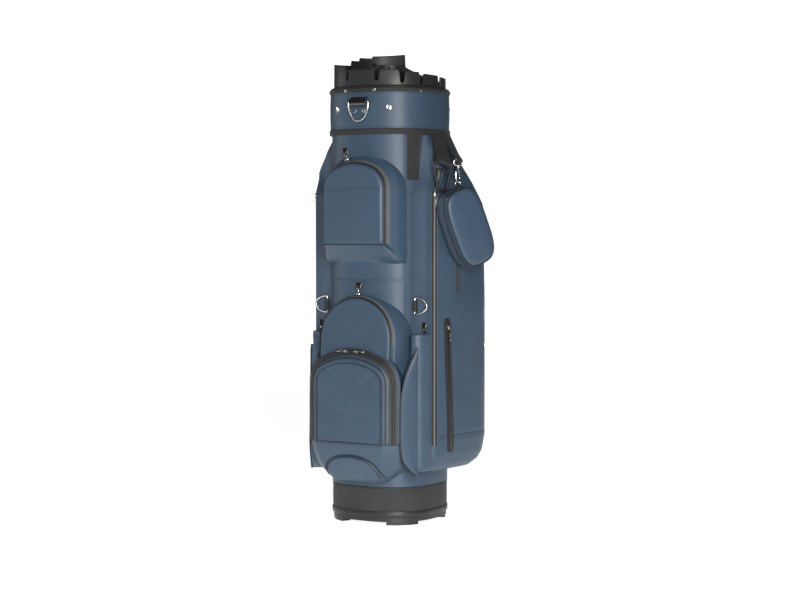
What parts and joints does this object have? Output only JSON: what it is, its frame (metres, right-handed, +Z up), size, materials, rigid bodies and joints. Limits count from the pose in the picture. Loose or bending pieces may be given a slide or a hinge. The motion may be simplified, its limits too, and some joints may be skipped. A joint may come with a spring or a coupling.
{
  "type": "golf cart bag",
  "caption": "Golf cart bag with a moulded club organiser, arched front pockets, flank garment pockets, rings, zips, a towel hook and a clipped pouch.",
  "frame": {"origin": "centre of the underside of the base, on the ground", "axes": "+Z up along the tube, front pockets face -Y, the pouch hangs on the +X side"},
  "size_m": [0.3687, 0.2963, 0.892],
  "materials": {
    "base_moulding": "satin moulded",
    "ballistic": "coarse woven",
    "foam": "matte",
    "softshell": "matte coated",
    "binding": "woven",
    "zip_tape": "woven",
    "patent": "gloss",
    "lining": "woven",
    "moulding": "satin moulded",
    "aluminium": "drawn",
    "steel": "polished"
  },
  "bodies": {
    "bag": {"base_pan": "base_moulding", "base_band": "ballistic", "base_pad": "foam", "body_shell": "softshell", "cuff_panel": "softshell", "upper_pocket": "softshell", "lower_pocket": "softshell", "cooler_pocket": "softshell", "tee_pocket": "softshell", "right_garment_pocket": "softshell", "left_garment_pocket": "softshell", "right_umbrella_sleeve": "softshell", "left_umbrella_sleeve": "softshell", "cuff_lower_binding": "binding", "cuff_upper_binding": "binding", "right_ring_tab": "binding", "left_ring_tab": "binding", "handle_upper_anchor": "binding", "handle_lower_anchor": "binding", "towel_strap": "binding", "pouch_strap": "binding", "glove_patch": "binding", "upper_zip": "zip_tape", "lower_zip": "zip_tape", "cooler_zip": "zip_tape", "right_garment_zip": "zip_tape", "left_garment_zip": "zip_tape", "chest_zip": "zip_tape", "slant_zip": "patent", "front_ring_tab": "patent", "front_divider": "lining", "right_divider": "lining", "left_divider": "lining", "organiser_top": "moulding", "left_stay": "aluminium", "right_stay": "aluminium"},
    "front_ring": {"front_d_ring": "steel"},
    "right_ring": {"right_d_ring": "steel"},
    "left_ring": {"left_d_ring": "steel"},
    "handle": {"carry_handle": "binding"},
    "towel_hook": {"towel_hook": "moulding"},
    "snap_hook": {"snap_hook": "steel"},
    "snap_gate": {"snap_gate": "steel"},
    "pouch": {"pouch": "softshell"},
    "upper_slider": {"upper_slider": "steel"},
    "upper_pull": {"upper_pull": "patent"},
    "lower_slider": {"lower_slider": "steel"},
    "lower_pull": {"lower_pull": "patent"},
    "cooler_left_slider": {"cooler_left_slider": "steel"},
    "cooler_left_pull": {"cooler_left_pull": "steel"},
    "cooler_right_slider": {"cooler_right_slider": "steel"},
    "cooler_right_pull": {"cooler_right_pull": "steel"},
    "right_garment_slider": {"right_garment_slider": "steel"},
    "right_garment_pull": {"right_garment_pull": "steel"},
    "left_garment_slider": {"left_garment_slider": "steel"},
    "left_garment_pull": {"left_garment_pull": "steel"},
    "slant_slider": {"slant_slider": "steel"},
    "slant_pull": {"slant_pull": "steel"}
  },
  "joints": [
    {"name": "front_ring_swing", "type": "hinge", "parent": "bag", "child": "front_ring", "pos_m": [0, -0.1115, 0.788], "axis": [-1, 0, 0], "range_deg": [0, 100]},
    {"name": "right_ring_swing", "type": "hinge", "parent": "bag", "child": "right_ring", "pos_m": [0.0975, -0.07, 0.41], "axis": [0, 0, -1], "range_deg": [-6, 60]},
    {"name": "left_ring_swing", "type": "hinge", "parent": "bag", "child": "left_ring", "pos_m": [-0.0975, -0.07, 0.41], "axis": [0, 0, 1], "range_deg": [-6, 60]},
    {"name": "handle_swing", "type": "hinge", "parent": "bag", "child": "handle", "pos_m": [0, 0.1087, 0.62], "axis": [0, 0, 1], "range_deg": [-55, 55]},
    {"name": "towel_hook_swing", "type": "hinge", "parent": "bag", "child": "towel_hook", "pos_m": [0.1465, -0.051, 0.676], "axis": [-0.2588, -0.9659, 0], "range_deg": [-4, 95]},
    {"name": "snap_hook_swing", "type": "hinge", "parent": "bag", "child": "snap_hook", "pos_m": [0.144, 0.008, 0.682], "axis": [0.0349, -0.9994, 0], "range_deg": [0, 60]},
    {"name": "snap_gate_opening", "type": "hinge", "parent": "snap_hook", "child": "snap_gate", "pos_m": [0.14393, 0.01, 0.6635], "axis": [-0.9994, -0.0349, 0], "range_deg": [0, 24], "stiffness_Nm_per_rad": 0.02},
    {"name": "pouch_swing", "type": "hinge", "parent": "snap_hook", "child": "pouch", "pos_m": [0.144, 0.008, 0.6398], "axis": [0.0349, -0.9994, 0], "range_deg": [0, 60]},
    {"name": "upper_zip_travel", "type": "hinge", "parent": "bag", "child": "upper_slider", "pos_m": [0, -0.1195, 0.58], "axis": [0, 1, 0], "range_deg": [-8, 31]},
    {"name": "upper_pull_lift", "type": "hinge", "parent": "upper_slider", "child": "upper_pull", "pos_m": [-0.02103, -0.1195, 0.6843], "axis": [0.9803, 0, 0.1977], "range_deg": [-20, 95]},
    {"name": "lower_zip_travel", "type": "hinge", "parent": "bag", "child": "lower_slider", "pos_m": [0, -0.1163, 0.348], "axis": [0, 0.9982, -0.0599], "range_deg": [-78, 78]},
    {"name": "lower_pull_lift", "type": "hinge", "parent": "lower_slider", "child": "lower_pull", "pos_m": [0, -0.11113, 0.43424], "axis": [1, 0, 0], "range_deg": [-10, 95]},
    {"name": "cooler_left_zip_travel", "type": "hinge", "parent": "bag", "child": "cooler_left_slider", "pos_m": [0, -0.13776, 0.184], "axis": [0, -1, 0], "range_deg": [-2, 12]},
    {"name": "cooler_left_pull_lift", "type": "hinge", "parent": "cooler_left_slider", "child": "cooler_left_pull", "pos_m": [-0.01162, -0.14094, 0.32836], "axis": [-0.0578, 0.6932, 0.7184], "range_deg": [0, 120]},
    {"name": "cooler_right_zip_travel", "type": "hinge", "parent": "bag", "child": "cooler_right_slider", "pos_m": [0, -0.13776, 0.184], "axis": [0, 1, 0], "range_deg": [-2, 12]},
    {"name": "cooler_right_pull_lift", "type": "hinge", "parent": "cooler_right_slider", "child": "cooler_right_pull", "pos_m": [0.01162, -0.14094, 0.32836], "axis": [-0.0578, -0.6932, -0.7184], "range_deg": [0, 120]},
    {"name": "right_garment_zip_travel", "type": "slide", "parent": "bag", "child": "right_garment_slider", "axis": [0, 0, -1], "range_m": [0, 0.42]},
    {"name": "right_garment_pull_lift", "type": "hinge", "parent": "right_garment_slider", "child": "right_garment_pull", "pos_m": [0.13734, -0.05754, 0.616], "axis": [-0.5692, -0.8222, 0], "range_deg": [0, 90]},
    {"name": "left_garment_zip_travel", "type": "slide", "parent": "bag", "child": "left_garment_slider", "axis": [0, 0, -1], "range_m": [0, 0.42]},
    {"name": "left_garment_pull_lift", "type": "hinge", "parent": "left_garment_slider", "child": "left_garment_pull", "pos_m": [-0.13734, -0.05754, 0.616], "axis": [-0.5692, 0.8222, 0], "range_deg": [0, 120]},
    {"name": "slant_zip_travel", "type": "slide", "parent": "bag", "child": "slant_slider", "axis": [0.0118, 0.0382, -0.9992], "range_m": [0, 0.2]},
    {"name": "slant_pull_lift", "type": "hinge", "parent": "slant_slider", "child": "slant_pull", "pos_m": [0.14942, -0.02764, 0.37], "axis": [-0.2954, -0.9545, -0.0399], "range_deg": [0, 120]}
  ]
}
